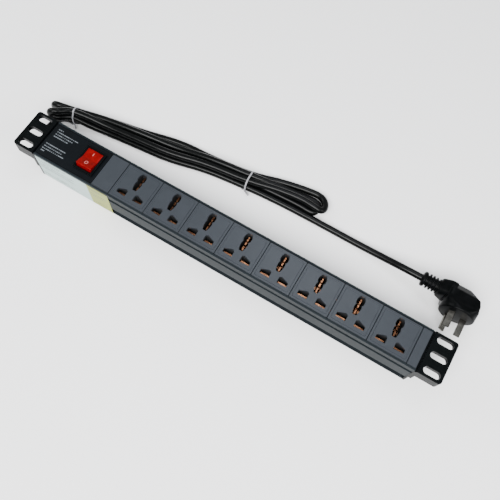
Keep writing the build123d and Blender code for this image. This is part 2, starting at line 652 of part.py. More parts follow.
def plug_pin(x, z, turn, length, name):
    """Flat pin out of the plug's face, turned about its own axis, with a bevelled tip."""
    across = (cos(radians(turn)), 0, sin(radians(turn)))
    with BuildPart() as pin:
        with BuildSketch(Plane(origin=(x, PLUG_FACE_Y, z), x_dir=across, z_dir=(0, -1, 0))):
            Rectangle(PIN_W, PIN_T)
        extrude(amount=length)
        chamfer(pin.faces().sort_by(Axis.Y)[0].edges(), 0.5)
    save(pin, name)


plug_pin(PIN_CENTRE_X + EARTH_REACH, PLUG_Z, 0, EARTH_L, "plug_pin_earth")
for sign, name in ((1, "plug_pin_live"), (-1, "plug_pin_neutral")):
    plug_pin(PIN_CENTRE_X + LIVE_REACH * cos(radians(LIVE_TURN)),
             PLUG_Z + sign * LIVE_REACH * sin(radians(LIVE_TURN)), sign * 30, LIVE_L, name)

# ---------------------------------------------------------------- labels on the front side
LABEL_T, LABEL_Z, LABEL_H = 0.2, 0.6, 39.9
LABELS = {"rating_label": (-215.0, -151.2), "inspection_label": (-151.1, -125.4)}
for name, (low, high) in LABELS.items():
    with BuildPart() as label:
        with BuildSketch(Plane.XY.offset(LABEL_Z)):
            with Locations(((low + high) / 2, -EXT_W / 2 - LABEL_T / 2)):
                Rectangle(high - low, LABEL_T)
        extrude(amount=LABEL_H)
    save(label, name)

print(f"{len(PIECES)} pieces")
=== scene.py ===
from math import copysign, cos, pi, radians, sin, sqrt

import bmesh
import bpy
from mathutils import Matrix, Vector


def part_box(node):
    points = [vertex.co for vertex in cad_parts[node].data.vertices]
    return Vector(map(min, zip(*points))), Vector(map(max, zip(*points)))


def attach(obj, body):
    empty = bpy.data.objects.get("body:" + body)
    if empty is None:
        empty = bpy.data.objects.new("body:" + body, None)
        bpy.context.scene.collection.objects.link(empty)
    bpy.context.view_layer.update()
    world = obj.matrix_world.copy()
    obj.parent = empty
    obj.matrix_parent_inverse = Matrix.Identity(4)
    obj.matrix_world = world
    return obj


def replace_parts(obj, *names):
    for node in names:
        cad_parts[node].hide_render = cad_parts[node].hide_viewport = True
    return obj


bl_info = {
    "name": "Rack power strip",
    "version": (1, 0, 0),
    "blender": (4, 5, 0),
    "location": "3D View > Sidebar > Power strip",
    "description": "Finishes, cord, ties, plug and switch details of a one-unit rack power strip",
    "category": "Object",
}

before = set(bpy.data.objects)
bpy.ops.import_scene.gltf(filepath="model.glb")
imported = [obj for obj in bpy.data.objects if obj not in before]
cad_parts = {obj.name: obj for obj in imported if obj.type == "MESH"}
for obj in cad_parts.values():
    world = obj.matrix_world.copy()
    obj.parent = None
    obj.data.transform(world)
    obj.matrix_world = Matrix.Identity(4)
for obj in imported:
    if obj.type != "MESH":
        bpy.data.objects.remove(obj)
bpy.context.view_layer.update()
MM = 0.001
STRIP, ROCKER = "strip", "switch_rocker_body"
OUTLETS = range(1, 9)
PLUG_PINS = ("plug_pin_earth", "plug_pin_live", "plug_pin_neutral")
MERGE_WITHIN = 1e-6      # metres


# ---------------------------------------------------------------- colour
def linear(hex_colour):
    """Linear RGBA from an sRGB hex colour."""
    channels = [int(hex_colour[i:i + 2], 16) / 255 for i in (1, 3, 5)]
    return tuple(c / 12.92 if c <= 0.04045 else ((c + 0.055) / 1.055) ** 2.4 for c in channels) + (1.0,)


def shade(rgb, factor):
    """RGBA made darker or lighter by a factor."""
    return tuple(c * factor for c in rgb[:3]) + (1.0,)


# ---------------------------------------------------------------- settings
class StripSettings(bpy.types.PropertyGroup):
    """Sizes and colours that a user would change on the whole strip."""

    cord_diameter: bpy.props.FloatProperty(
        name="Cord diameter", description="Outer diameter of the mains cord", default=0.0076,
        unit="LENGTH")
    cord_length: bpy.props.FloatProperty(
        name="Cord length", description="Length of cord from the end cap to the plug", default=1.8,
        unit="LENGTH")
    tie_width: bpy.props.FloatProperty(
        name="Tie width", description="Width of the plastic-covered wire tie", default=0.0016,
        unit="LENGTH")
    insert_colour: bpy.props.FloatVectorProperty(
        name="Outlet colour", description="Moulded grey of the outlet covers", subtype="COLOR", size=3,
        default=linear("#282C31")[:3])
    rocker_colour: bpy.props.FloatVectorProperty(
        name="Rocker colour", description="Translucent red of the rocker", subtype="COLOR", size=3,
        default=linear("#6C0103")[:3])


class PrintSettings(bpy.types.PropertyGroup):
    """Rows of plain dashes that stand in for the printed text."""

    dash_height: bpy.props.FloatProperty(
        name="Dash height", description="Height of one printed dash", default=0.001, unit="LENGTH")
    dash_pitch: bpy.props.FloatProperty(
        name="Dash pitch", description="Distance from one dash to the next", default=0.0022, unit="LENGTH")
    seed: bpy.props.IntProperty(
        name="Seed", description="Seed of the uneven dash lengths", default=7)


# ---------------------------------------------------------------- node helpers
def add_node(tree, kind, inputs=None, **settings):
    """Add one node with its settings, filling or linking its inputs."""
    made = tree.nodes.new(kind)
    for key, value in settings.items():
        setattr(made, key, value)
    for socket, value in (inputs or {}).items():
        if isinstance(value, bpy.types.NodeSocket):
            tree.links.new(value, made.inputs[socket])
        else:
            made.inputs[socket].default_value = value
    return made


def new_material(name, **sockets):
    """Material with a Principled shader whose plain values sit on its own sockets."""
    material = bpy.data.materials.new(name)
    material.use_nodes = True
    shader = material.node_tree.nodes["Principled BSDF"]
    for socket, value in sockets.items():
        shader.inputs[socket.replace("_", " ")].default_value = value
    return material, material.node_tree, shader


def place(tree, scale=(1, 1, 1)):
    """Object coordinates, stretched for a pattern that runs along the strip."""
    coords = add_node(tree, "ShaderNodeTexCoord")
    inputs = {"Vector": coords.outputs["Object"], "Scale": scale}
    return add_node(tree, "ShaderNodeMapping", inputs).outputs[0]


def noise(tree, vector, size_mm, detail=4.0, roughness=0.55):
    """Noise whose blobs are about size_mm across."""
    inputs = {"Vector": vector, "Scale": 1 / (size_mm * MM), "Detail": detail, "Roughness": roughness}
    return add_node(tree, "ShaderNodeTexNoise", inputs).outputs["Fac"]


def tint(tree, shader, factor, low, high):
    """Base colour that follows a 0 to 1 factor between two (position, linear colour) stops."""
    ramp = add_node(tree, "ShaderNodeValToRGB", {"Fac": factor})
    for element, (position, colour) in zip(ramp.color_ramp.elements, (low, high)):
        element.position, element.color = position, colour
    tree.links.new(ramp.outputs["Color"], shader.inputs["Base Color"])


def roughen(tree, shader, factor, low, high):
    """Roughness between low and high that follows a 0 to 1 factor."""
    spread = add_node(tree, "ShaderNodeMapRange", {"Value": factor, "To Min": low, "To Max": high})
    tree.links.new(spread.outputs[0], shader.inputs["Roughness"])


def emboss(tree, shader, height, depth_mm, strength=1.0):
    """Bump of depth_mm on the shader's normal."""
    inputs = {"Height": height, "Distance": depth_mm * MM, "Strength": strength}
    bump = add_node(tree, "ShaderNodeBump", inputs)
    tree.links.new(bump.outputs["Normal"], shader.inputs["Normal"])


# ---------------------------------------------------------------- materials
def anodised_aluminium():
    """Extruded aluminium, dyed dark and satin anodised: faint die lines along its length.

    The thick dyed oxide hides the metal, so it is shaded as a dark layer with little sheen.
    """
    material, tree, shader = new_material("Dark anodised aluminium", Specular_IOR_Level=0.04)
    lines = noise(tree, place(tree, (0.012, 1, 1)), 0.35, 6)
    clouds = noise(tree, place(tree), 26)
    base = linear("#1B2023")
    tint(tree, shader, clouds, (0.3, shade(base, 0.9)), (0.7, shade(base, 1.06)))
    roughen(tree, shader, lines, 0.34, 0.5)
    emboss(tree, shader, lines, 0.012)
    return material


def gloss_black_abs():
    """Injection-moulded ABS from a polished tool: even gloss with slight flow ripples."""
    material, tree, shader = new_material("Gloss black ABS", IOR=1.53, Specular_IOR_Level=0.03)
    ripples = noise(tree, place(tree), 9)
    scuffs = noise(tree, place(tree, (0.4, 1, 1)), 1.4, 8)
    base = linear("#080A0B")
    tint(tree, shader, ripples, (0.35, shade(base, 0.8)), (0.7, shade(base, 1.25)))
    roughen(tree, shader, scuffs, 0.2, 0.36)
    emboss(tree, shader, ripples, 0.02, 0.2)
    return material


def spark_finished_polycarbonate(colour):
    """Polycarbonate moulded in a spark-eroded tool: fine satin grain, softly reflecting.

    The real grain, under a tenth of a millimetre, is drawn coarser so that it shows.
    """
    material, tree, shader = new_material("Satin grey polycarbonate", IOR=1.58, Specular_IOR_Level=0.22)
    grain = noise(tree, place(tree), 0.28, 3)
    clouds = noise(tree, place(tree), 14)
    tint(tree, shader, clouds, (0.3, shade(colour, 0.93)), (0.72, shade(colour, 1.07)))
    roughen(tree, shader, grain, 0.3, 0.44)
    emboss(tree, shader, grain, 0.02, 0.6)
    return material


def satin_black_polycarbonate():
    """The same grained moulding in black, for the control panel."""
    material, tree, shader = new_material("Satin black polycarbonate", IOR=1.58, Specular_IOR_Level=0.08)
    grain = noise(tree, place(tree), 0.28, 3)
    clouds = noise(tree, place(tree), 12)
    base = linear("#04070A")
    tint(tree, shader, clouds, (0.3, shade(base, 0.85)), (0.72, shade(base, 1.2)))
    roughen(tree, shader, grain, 0.34, 0.48)
    emboss(tree, shader, grain, 0.02, 0.6)
    return material


def matt_black_nylon():
    """Glass-filled nylon of the inner mouldings: matt, with pale fibre flecks."""
    material, tree, shader = new_material("Matt black nylon", Roughness=0.72, IOR=1.53)
    fibres = noise(tree, place(tree, (1, 0.25, 1)), 0.6, 7, 0.7)
    tint(tree, shader, fibres, (0.45, linear("#101112")), (0.75, linear("#26282A")))
    emboss(tree, shader, fibres, 0.03)
    return material


def translucent_red_polycarbonate(colour):
    """Tinted clear polycarbonate of a lit rocker: deep red under a polished skin."""
    material, tree, shader = new_material(
        "Translucent red polycarbonate", IOR=1.58, Specular_IOR_Level=0.12,
        Subsurface_Weight=0.25, Subsurface_Radius=(0.004, 0.0006, 0.0004), Subsurface_Scale=1.0)
    depth = noise(tree, place(tree), 5)
    polish = noise(tree, place(tree), 0.9, 6)
    tint(tree, shader, depth, (0.3, shade(colour, 0.72)), (0.7, shade(colour, 1.15)))
    roughen(tree, shader, polish, 0.14, 0.26)
    emboss(tree, shader, depth, 0.03, 0.4)
    return material


def rolled_brass():
    """Stamped strip brass: warm, with rolling lines and a little tarnish; its colours are darkened throughout
    as painted shade of the deep outlet holes.
    """
    material, tree, shader = new_material("Rolled brass", Metallic=1.0)
    lines = noise(tree, place(tree, (0.06, 1, 1)), 0.3, 5)
    tarnish_and_shade = noise(tree, place(tree), 4, 6)
    # painted shade: both colours are darkened to stand in for the shade inside the outlet holes; the noise
    # between them is tarnish
    tint(tree, shader, tarnish_and_shade, (0.3, linear("#4E2F22")), (0.6, linear("#94694C")))
    roughen(tree, shader, lines, 0.16, 0.34)
    emboss(tree, shader, lines, 0.01)
    return material


def nickel_plated_brass():
    """Nickel over brass on the plug's pins: mirror-like, faintly yellow, finely scratched, its colour
    darkened as painted shade and painted dark reflection.
    """
    material, tree, shader = new_material("Nickel-plated brass", Metallic=1.0)
    scratches = noise(tree, place(tree, (1, 0.05, 1)), 0.25, 6)
    tone = noise(tree, place(tree), 6)
    # painted shade: both colours sit far below bright nickel, standing in for the pins' shadow and dark
    # reflections
    tint(tree, shader, tone, (0.3, linear("#5A5854")), (0.7, linear("#8A8882")))
    roughen(tree, shader, scratches, 0.14, 0.3)
    emboss(tree, shader, scratches, 0.01)
    return material


def zinc_plated_steel():
    """Blue-passivated zinc on steel screws: pale grey with faint crystal mottling."""
    material, tree, shader = new_material("Zinc-plated steel", Metallic=1.0)
    inputs = {"Vector": place(tree), "Scale": 1 / (0.5 * MM)}
    crystals = add_node(tree, "ShaderNodeTexVoronoi", inputs).outputs["Color"]
    tone = noise(tree, place(tree), 1.2)
    tint(tree, shader, tone, (0.3, linear("#9A9EA2")), (0.7, linear("#C3C6C8")))
    roughen(tree, shader, crystals, 0.25, 0.42)
    return material


def soft_pvc(name, dark, light, gloss=(0.22, 0.36), specular=0.11):
    """Flexible PVC extruded over copper: smooth skin with a slow waviness and a waxy gloss."""
    material, tree, shader = new_material(name, IOR=1.54, Specular_IOR_Level=specular)
    wave = noise(tree, place(tree), 7, 3)
    skin = noise(tree, place(tree), 0.5, 4)
    tint(tree, shader, wave, (0.3, linear(dark)), (0.7, linear(light)))
    roughen(tree, shader, skin, *gloss)
    emboss(tree, shader, wave, 0.06, 0.5)
    return material


def striped_earth_pvc():
    """Green insulation with a yellow stripe, as on every earth conductor."""
    material, tree, shader = new_material("Green and yellow PVC", IOR=1.54)
    inputs = {"Vector": place(tree, (0.3, 1, 1)), "Scale": 1 / (4 * MM)}
    wave = add_node(tree, "ShaderNodeTexWave", inputs, bands_direction="DIAGONAL").outputs["Fac"]
    tint(tree, shader, wave, (0.45, linear("#2F7A2C")), (0.55, linear("#D9C92E")))
    roughen(tree, shader, noise(tree, place(tree), 0.5), 0.3, 0.42)
    return material


def printed_film(name, paper, ink_shadow):
    """Satin polyester label film: almost flat, faintly mottled by its glue."""
    material, tree, shader = new_material(name, IOR=1.5)
    glue = noise(tree, place(tree), 3, 5)
    tint(tree, shader, glue, (0.3, linear(ink_shadow)), (0.6, linear(paper)))
    roughen(tree, shader, glue, 0.36, 0.5)
    emboss(tree, shader, glue, 0.02)
    return material


def screen_ink(name, colour):
    """Screen-printed ink: opaque, with the slightly broken edge that the mesh leaves."""
    material, tree, shader = new_material(name, IOR=1.5)
    mesh = noise(tree, place(tree), 0.2, 5)
    tint(tree, shader, mesh, (0.3, shade(linear(colour), 0.8)), (0.6, linear(colour)))
    roughen(tree, shader, mesh, 0.5, 0.66)
    return material


def tie_polythene():
    """Light grey polythene over a wire: matt, creased where it was bent by hand."""
    material, tree, shader = new_material("Grey polythene tie", IOR=1.51)
    creases = noise(tree, place(tree), 1.1, 6)
    tint(tree, shader, creases, (0.3, linear("#6C6C70")), (0.65, linear("#96969A")))
    roughen(tree, shader, creases, 0.45, 0.62)
    emboss(tree, shader, creases, 0.08)
    return material


def lamp_glass():
    """Thin soda glass of the neon lamp, faintly warm."""
    material, tree, shader = new_material("Neon lamp glass", Transmission_Weight=0.9, IOR=1.5)
    warmth = noise(tree, place(tree), 2)
    tint(tree, shader, warmth, (0.3, linear("#F4C9A8")), (0.7, linear("#F8DFC8")))
    roughen(tree, shader, warmth, 0.04, 0.1)
    return material


def pale_floor():
    """Seamless paper of a studio floor: near white, with a soft tooth."""
    material, tree, shader = new_material("White studio paper", Roughness=0.9)
    tooth = noise(tree, place(tree), 1.5)
    tint(tree, shader, tooth, (0.2, linear("#F6F6F6")), (0.8, linear("#FBFBFB")))
    return material


def material_named(name, maker, *values):
    """The material of that name, made the first time that it is asked for."""
    return bpy.data.materials.get(name) or maker(*values)


# ---------------------------------------------------------------- mesh helpers
def mesh_piece(name, bm, material, body=STRIP, sharp=40):
    """Turn a bmesh into a piece on a body, with edges over sharp degrees left sharp."""
    bmesh.ops.remove_doubles(bm, verts=bm.verts, dist=MERGE_WITHIN)
    bmesh.ops.recalc_face_normals(bm, faces=bm.faces)
    mesh = bpy.data.meshes.new(name)
    bm.to_mesh(mesh)
    bm.free()
    mesh.shade_smooth()
    mesh.set_sharp_from_angle(angle=radians(sharp))
    return settle(name, mesh, material, body)


def settle(name, mesh, material, body):
    """Link a finished mesh at the origin with its material and body."""
    piece = bpy.data.objects.new(name, mesh)
    bpy.context.scene.collection.objects.link(piece)
    mesh.materials.clear()
    mesh.materials.append(material)
    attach(piece, body)
    return piece


def loft(bm, rings, caps=True):
    """Skin a list of closed rings of points, with flat ends if wanted."""
    rows = [[bm.verts.new(point) for point in ring] for ring in rings]
    count = len(rows[0])
    for low, high in zip(rows, rows[1:]):
        for i in range(count):
            j = (i + 1) % count
            bm.faces.new((low[i], low[j], high[j], high[i]))
    if caps:
        bm.faces.new(rows[0][::-1])
        bm.faces.new(rows[-1])


def lofted(name, rings, material, sharp):
    """Piece skinned over one list of rings."""
    bm = bmesh.new()
    loft(bm, rings)
    return mesh_piece(name, bm, material, sharp=sharp)


def around(count):
    """Angles of count points, evenly spaced round a circle."""
    return [2 * pi * i / count for i in range(count)]


def squared(middle, reach, value, boxiness):
    """Coordinate of a rounded square, from a sine or cosine: boxiness 2 is round and more is squarer."""
    return middle + copysign(reach * abs(value) ** (2 / boxiness), value)


def grown(name, tree, values, material, body=STRIP):
    """Run a Geometry Nodes tree on an empty mesh and keep its result as a plain piece."""
    carrier = bpy.data.objects.new(name + "_source", bpy.data.meshes.new(name + "_source"))
    bpy.context.scene.collection.objects.link(carrier)
    modifier = carrier.modifiers.new("Grow", "NODES")
    modifier.node_group = tree
    sockets = {item.name: item.identifier for item in tree.interface.items_tree if item.in_out == "INPUT"}
    for label, value in dict(values, Material=material).items():
        modifier[sockets[label]] = value
    bpy.context.view_layer.update()
    evaluated = carrier.evaluated_get(bpy.context.evaluated_depsgraph_get())
    mesh = bpy.data.meshes.new_from_object(evaluated)
    mesh.name = name
    carrier.modifiers.clear()
    bpy.data.objects.remove(carrier)
    return settle(name, mesh, material, body)


def new_tree(name, inputs):
    """Geometry Nodes tree with named inputs, a material and one geometry output."""
    tree = bpy.data.node_groups.new(name, "GeometryNodeTree")
    kinds = {int: "NodeSocketInt", float: "NodeSocketFloat", tuple: "NodeSocketVector"}
    for label, default in inputs.items():
        socket = tree.interface.new_socket(name=label, in_out="INPUT", socket_type=kinds[type(default)])
        socket.default_value = default
    tree.interface.new_socket(name="Material", in_out="INPUT", socket_type="NodeSocketMaterial")
    tree.interface.new_socket(name="Geometry", in_out="OUTPUT", socket_type="NodeSocketGeometry")
    return tree, add_node(tree, "NodeGroupInput").outputs


def close_tree(tree, geometry, material):
    """End a tree in Realize Instances and Set Material."""
    real = add_node(tree, "GeometryNodeRealizeInstances", {"Geometry": geometry})
    painted = add_node(tree, "GeometryNodeSetMaterial", {"Geometry": real.outputs[0], "Material": material})
    add_node(tree, "NodeGroupOutput", {"Geometry": painted.outputs[0]})


# ---------------------------------------------------------------- cord
# Control points in millimetres. The first and last stretches follow the frame's two tubes of cord,
# and the five passes between them are the folded hank.
CORD_EXIT = [(-213.2, 7, 13), (-230.2, 7, 13), (-242.2, 19, 11), (-242.2, 35.5, 7.4)]
PASS_OUT_LOW = [(-242, 39.6, 5.2), (-238.6, 45.6, 3.9), (-227, 48, 3.8), (-209, 57, 3.8), (-190, 61.8, 3.8),
                (-150, 66.3, 3.8), (-110, 70, 3.8), (-70, 80.2, 3.8), (-22, 85.2, 3.8), (10, 87.2, 3.8),
                (40, 88.6, 3.8)]
INNER_LOOP = [(52, 87.6, 3.8), (58.6, 89, 3.8), (59, 98.6, 3.8), (52, 101, 3.8)]
PASS_BACK_HIGH = [(40, 99.8, 3.9), (10, 95.6, 5.4), (-22, 89, 10.4), (-70, 84, 10.4), (-110, 78.2, 4.4),
                  (-150, 71.3, 9.6), (-190, 65.6, 10.4), (-209, 61.2, 10.8), (-228, 56.2, 11.5),
                  (-240, 52.8, 13.4)]
FAR_FOLD = [(-245.6, 50.2, 16.6), (-253, 49.4, 15.4), (-253, 49.4, 5), (-245.6, 50.4, 3.8)]
PASS_OUT_FAR = [(-240, 53.8, 3.8), (-228, 56.6, 3.8), (-209, 64.8, 3.8), (-190, 69.4, 3.8), (-150, 76.2, 3.8),
                (-110, 86.4, 3.8), (-70, 87.8, 3.8), (-22, 92.8, 3.8), (10, 103, 3.8), (44, 109.6, 3.8)]
OUTER_LOOP = [(58, 109.4, 4.2), (65.5, 101, 6.5), (65, 91.6, 9.4), (54, 91.6, 11.4)]
PASS_BACK_TOP = [(40, 93, 11.2), (10, 89, 11.4), (-22, 81.4, 10.4), (-70, 76.4, 10.4), (-110, 65.9, 10.4),
                 (-150, 62.3, 10.4), (-190, 58, 10.6), (-209, 55, 15.2), (-227, 51.2, 18), (-234, 45.6, 21)]
NEAR_FOLD = [(-238.6, 38.6, 24.6), (-246, 36, 23.6), (-246, 35.8, 15.4), (-239, 37.2, 14.2)]
PASS_OUT_NEAR = [(-234, 42.4, 12.6), (-227, 48.2, 11.3), (-209, 50.2, 7.6), (-190, 54, 3.8),
                 (-150, 58.3, 3.8), (-110, 61.8, 3.8), (-70, 72.4, 3.8), (-22, 77.6, 3.8)]
CORD_TAIL = [(20, 80.4, 3.8), (70, 81, 3.8), (116, 80.6, 4.3), (148, 78.6, 10), (171, 76, 16.8),
             (186.9, 75.2, 18.7)]
CORD_ROUTE = (CORD_EXIT + PASS_OUT_LOW + INNER_LOOP + PASS_BACK_HIGH + FAR_FOLD + PASS_OUT_FAR + OUTER_LOOP
              + PASS_BACK_TOP + NEAR_FOLD + PASS_OUT_NEAR + CORD_TAIL)


class PowerCord(bpy.types.Operator):
    """Make the whole mains cord, from the end cap through the folded hank to the plug"""

    bl_idname = "rack_strip.power_cord"
    bl_label = "Power cord"

    def execute(self, context):
        settings = context.scene.rack_strip
        curve = bpy.data.curves.new("power_cord", "CURVE")
        curve.dimensions = "3D"
        curve.resolution_u = 10
        curve.bevel_depth = settings.cord_diameter / 2
        curve.bevel_resolution = 6
        curve.use_fill_caps = True
        spline = curve.splines.new("NURBS")
        spline.points.add(len(CORD_ROUTE) - 1)
        for point, place_mm in zip(spline.points, CORD_ROUTE):
            point.co = (*(value * MM for value in place_mm), 1.0)
        spline.order_u = 3
        spline.use_endpoint_u = True
        spline.use_smooth = True
        cord = bpy.data.objects.new("power_cord", curve)
        context.scene.collection.objects.link(cord)
        skin = material_named("Black cord PVC", soft_pvc, "Black cord PVC", "#030404", "#070808", (0.2, 0.3))
        curve.materials.append(skin)
        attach(cord, STRIP)
        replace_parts(cord, "power_cord_exit", "cord_hank", "power_cord_tail")
        return {"FINISHED"}


# ---------------------------------------------------------------- twist ties
# Millimetres. Path of each tie in the YZ plane round its bundle, from its near side and back to it.
LEFT_PATH = [(43.6, 4), (43.6, 0.5), (60.8, 0.5), (60.9, 13), (54.6, 22), (49.4, 22.4), (43.8, 13),
             (43.4, 4.4)]
RIGHT_PATH = [(73.5, 3), (73.6, 0.5), (96.9, 0.5), (97, 6), (92, 14.6), (78.6, 14.6), (73.5, 7.6),
              (73.3, 3.4)]
# Each tie: place along X, path, lean along X, and its tail's start, direction and length.
TIES = {
    "twist_tie_left": (-228.5, LEFT_PATH, 5, (-225, 45, 4.4), (0.75, -0.62, -0.05), 7),
    "twist_tie_right": (-23.5, RIGHT_PATH, 4, (-20.5, 73, 3.6), (0.85, -0.4, 0.0), 8),
}
TIE_BEND = 4             # reach of a rounded corner
SIDE_TO_REACH = 2.1      # a corner takes less than half of each side
CORNER_STEPS = 5
TIE_WING, TIE_CORE = 0.22, 0.62             # half thickness at the flat wings and at the wire
CORE_FOOT, CORE_TOP = 0.3, 0.12             # half widths of the wire's ridge, as shares of the tie's
TAIL_TURNS, TAIL_STEPS = 2, 40
TAIL_SWING, TAIL_T = 0.55, 0.3              # each strand off the tail's axis, and half its thickness
TAIL_HALF, TAIL_CUT_HALF = 0.34, 0.2        # half width of a strand and of its cut ends, over the tie's width
TAIL_CUTS = (0.04, 0.97)                    # shares of the tail's length at which its cut ends stop and begin


def rounded_path(corners, radius):
    """Open path in the YZ plane through corners, each rounded by a short arc of points."""
    path = [Vector(corners[0])]
    for before, corner, after in zip(corners, corners[1:], corners[2:]):
        corner = Vector(corner)
        into, out = Vector(before) - corner, Vector(after) - corner
        reach = min(radius, into.length / SIDE_TO_REACH, out.length / SIDE_TO_REACH)
        start, end = corner + into.normalized() * reach, corner + out.normalized() * reach
        for i in range(CORNER_STEPS + 1):
            t = i / CORNER_STEPS
            path.append((1 - t) ** 2 * start + 2 * t * (1 - t) * corner + t * t * end)
    return path + [Vector(corners[-1])]


def ribbon(bm, x, path, width, lean):
    """Flat tie with a raised wire core, swept along a YZ path at a station x."""
    half, wing, core = width / 2, TIE_WING * MM, TIE_CORE * MM
    section = [(-half, -wing), (-half, wing), (-CORE_FOOT * half, wing), (-CORE_TOP * half, core),
               (CORE_TOP * half, core), (CORE_FOOT * half, wing), (half, wing), (half, -wing)]
    rings = []
    for i, point in enumerate(path):
        ahead, behind = path[min(i + 1, len(path) - 1)], path[max(i - 1, 0)]
        along = (ahead - behind).normalized()
        normal = Vector((-along.y, along.x))
        shift = lean * i / len(path)
        rings.append([(x + shift + side, point.x + normal.x * out, point.y + normal.y * out)
                      for side, out in section])
    loft(bm, rings)


def twisted_tail(bm, start, direction, length, width):
    """The two free ends of a tie, twisted round each other."""
    axis = Vector(direction).normalized()
    side = axis.cross(Vector((0, 0, 1))).normalized()
    up = side.cross(axis)
    corners = ((-1, -1), (1, -1), (1, 1), (-1, 1))
    for strand in (0, pi):
        rings = []
        for i in range(TAIL_STEPS + 1):
            t = i / TAIL_STEPS
            angle = strand + 2 * pi * TAIL_TURNS * t
            flat, thin = side * cos(angle) + up * sin(angle), up * cos(angle) - side * sin(angle)
            centre = Vector(start) + axis * length * t + flat * (TAIL_SWING * MM)
            half = width * (TAIL_HALF if TAIL_CUTS[0] < t < TAIL_CUTS[1] else TAIL_CUT_HALF)
            rings.append([centre + thin * half * a + flat * TAIL_T * MM * b for a, b in corners])
        loft(bm, rings)


class TwistTies(bpy.types.Operator):
    """Make the two plastic-covered wire ties that hold the folded cord"""

    bl_idname = "rack_strip.twist_ties"
    bl_label = "Twist ties"

    def execute(self, context):
        width = context.scene.rack_strip.tie_width
        material = material_named("Grey polythene tie", tie_polythene)
        for node, (x, path, lean, tail, direction, length) in TIES.items():
            bm = bmesh.new()
            corners = [(y * MM, z * MM) for y, z in path]
            ribbon(bm, x * MM, rounded_path(corners, TIE_BEND * MM), width, lean * MM)
            twisted_tail(bm, [v * MM for v in tail], direction, length * MM, width)
            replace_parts(mesh_piece(node + "_twisted", bm, material), node)
        return {"FINISHED"}


# ---------------------------------------------------------------- plug
# Millimetres. The drum's axis and radius, and the strain relief's axis and cord end.
PLUG_X, PLUG_Z, PLUG_R = 232.0, 18.7, 18.5
RELIEF_Y, RELIEF_X = 75.2, 186.9
# The body runs along Y, from the drum that carries the pins to the back of a chamfered handle.
FACE_EDGE_Y, FACE_EDGE_D, FACE_EDGE_H = 58.2, 2.2, 1.6   # rounded edge at the pins: inner end, depth, height
BACK_EDGE_Y, BACK_EDGE_D, BACK_EDGE_H = 83.4, 1.4, 1.2   # rounded edge at the back: inner end, depth, height
CHANGE_Y, CHANGE_D = 59, 10                              # drum turning into handle: start, depth
SLAB_RIDGE_Y, SLAB_BACK_Y, SLAB_HALF = 76.2, 84.8, 15.0  # handle: ridge, back, half height
LEFT_REACH, RIDGE_RIGHT = 18.2, 14.3                     # left side's reach, right side's at the ridge
HANDLE_IN = 2                                            # the handle's right side within the drum's
SHOULDER_Y, SHOULDER_D, SHOULDER_IN = 71, 5.2, 2.2       # right side's slope to the ridge: start, depth, fall
CHAMFER_TOP, CHAMFER_SIDE = 0.8, 1.4                     # fall behind the ridge, per millimetre of depth
DRUM_BOXINESS, HANDLE_BOXIER = 2, 7
BODY_POINTS, NECK_POINTS, SLEEVE_POINTS = 120, 64, 48
BODY_STEPS = [56.0, 56.2, 56.6, 57.3, 58.2, 60, 64, 66, 68, 70, 72, 74, 75.6, 76.0, 76.4, 78, 80, 82, 83.4,
              84.2, 84.6, SLAB_BACK_Y]
# Neck: place along X, middle across it, half width, half height and how square its section is.
NECK_STATIONS = [(204.8, 75.2, 6.6, 6.6, 2), (205.4, 75.2, 8.4, 8.2, 2.4), (206.3, 75.4, 9.2, 8.8, 3),
                 (208.2, 75.5, 9.5, 9.4, 3.4), (210.8, 75.6, 9.6, 11, 3.8), (213.4, 75.6, 9.6, 12.8, 4.2),
                 (216, 75.6, 9.4, 13.8, 4.6), (220, 75.6, 9, 14, 4.6)]
# Sleeve of the strain relief: distance from its cord end, where a rounded bead is, and radius.
SLEEVE_STATIONS = [(0, 4.1), (0.05, 5.6), (0.4, 6.8), (1.2, 7.7), (2.2, 8.05), (3.4, 7.9), (4.2, 7.2),
                   (4.5, 5.5), (12, 6.0), (19.1, 6.6)]
RIBS, RIB_PITCH, RIB_FIRST = 4, 3.55, 7.2
RIB_R, RIB_SECTION_R = 7.1, 0.95
BODY_SHARP, SLEEVE_SHARP = 28, 35                         # degrees


def rounding(into, depth, height):
    """How far a rounded edge draws the outline in, at a distance into the edge."""
    return height * (1 - sqrt(max(1 - (max(into, 0) / depth) ** 2, 0)))


def body_ring(y):
    """Outline of the plug's body at a depth y."""
    edge = rounding(FACE_EDGE_Y - y, FACE_EDGE_D, FACE_EDGE_H)
    tip = rounding(y - BACK_EDGE_Y, BACK_EDGE_D, BACK_EDGE_H)
    change = min(max((y - CHANGE_Y) / CHANGE_D, 0), 1)
    change = change * change * (3 - 2 * change)
    behind = max(y - SLAB_RIDGE_Y, 0)
    height = PLUG_R + (SLAB_HALF - PLUG_R) * change - CHAMFER_TOP * behind - edge - tip
    if y < SLAB_RIDGE_Y:
        right = PLUG_R - HANDLE_IN * change - SHOULDER_IN * max(y - SHOULDER_Y, 0) / SHOULDER_D
    else:
        right = RIDGE_RIGHT - CHAMFER_SIDE * behind
    right = right - edge - tip
    left = LEFT_REACH - edge
    boxiness = DRUM_BOXINESS + HANDLE_BOXIER * change
    ring = []
    for angle in around(BODY_POINTS):
        x = squared(PLUG_X, left if cos(angle) < 0 else right, cos(angle), boxiness)
        z = squared(PLUG_Z, height, sin(angle), boxiness)
        ring.append((x * MM, y * MM, z * MM))
    return ring


def neck_ring(x, middle, wide, high, boxiness):
    """Outline of the plug's neck at a station x."""
    return [(x * MM, squared(middle, wide, cos(angle), boxiness) * MM,
             squared(PLUG_Z, high, sin(angle), boxiness) * MM) for angle in around(NECK_POINTS)]


def sleeve_ring(x, radius):
    """Round section of the strain relief, x from its cord end."""
    return [((RELIEF_X + x) * MM, (RELIEF_Y + radius * cos(a)) * MM, (PLUG_Z + radius * sin(a)) * MM)
            for a in around(SLEEVE_POINTS)]


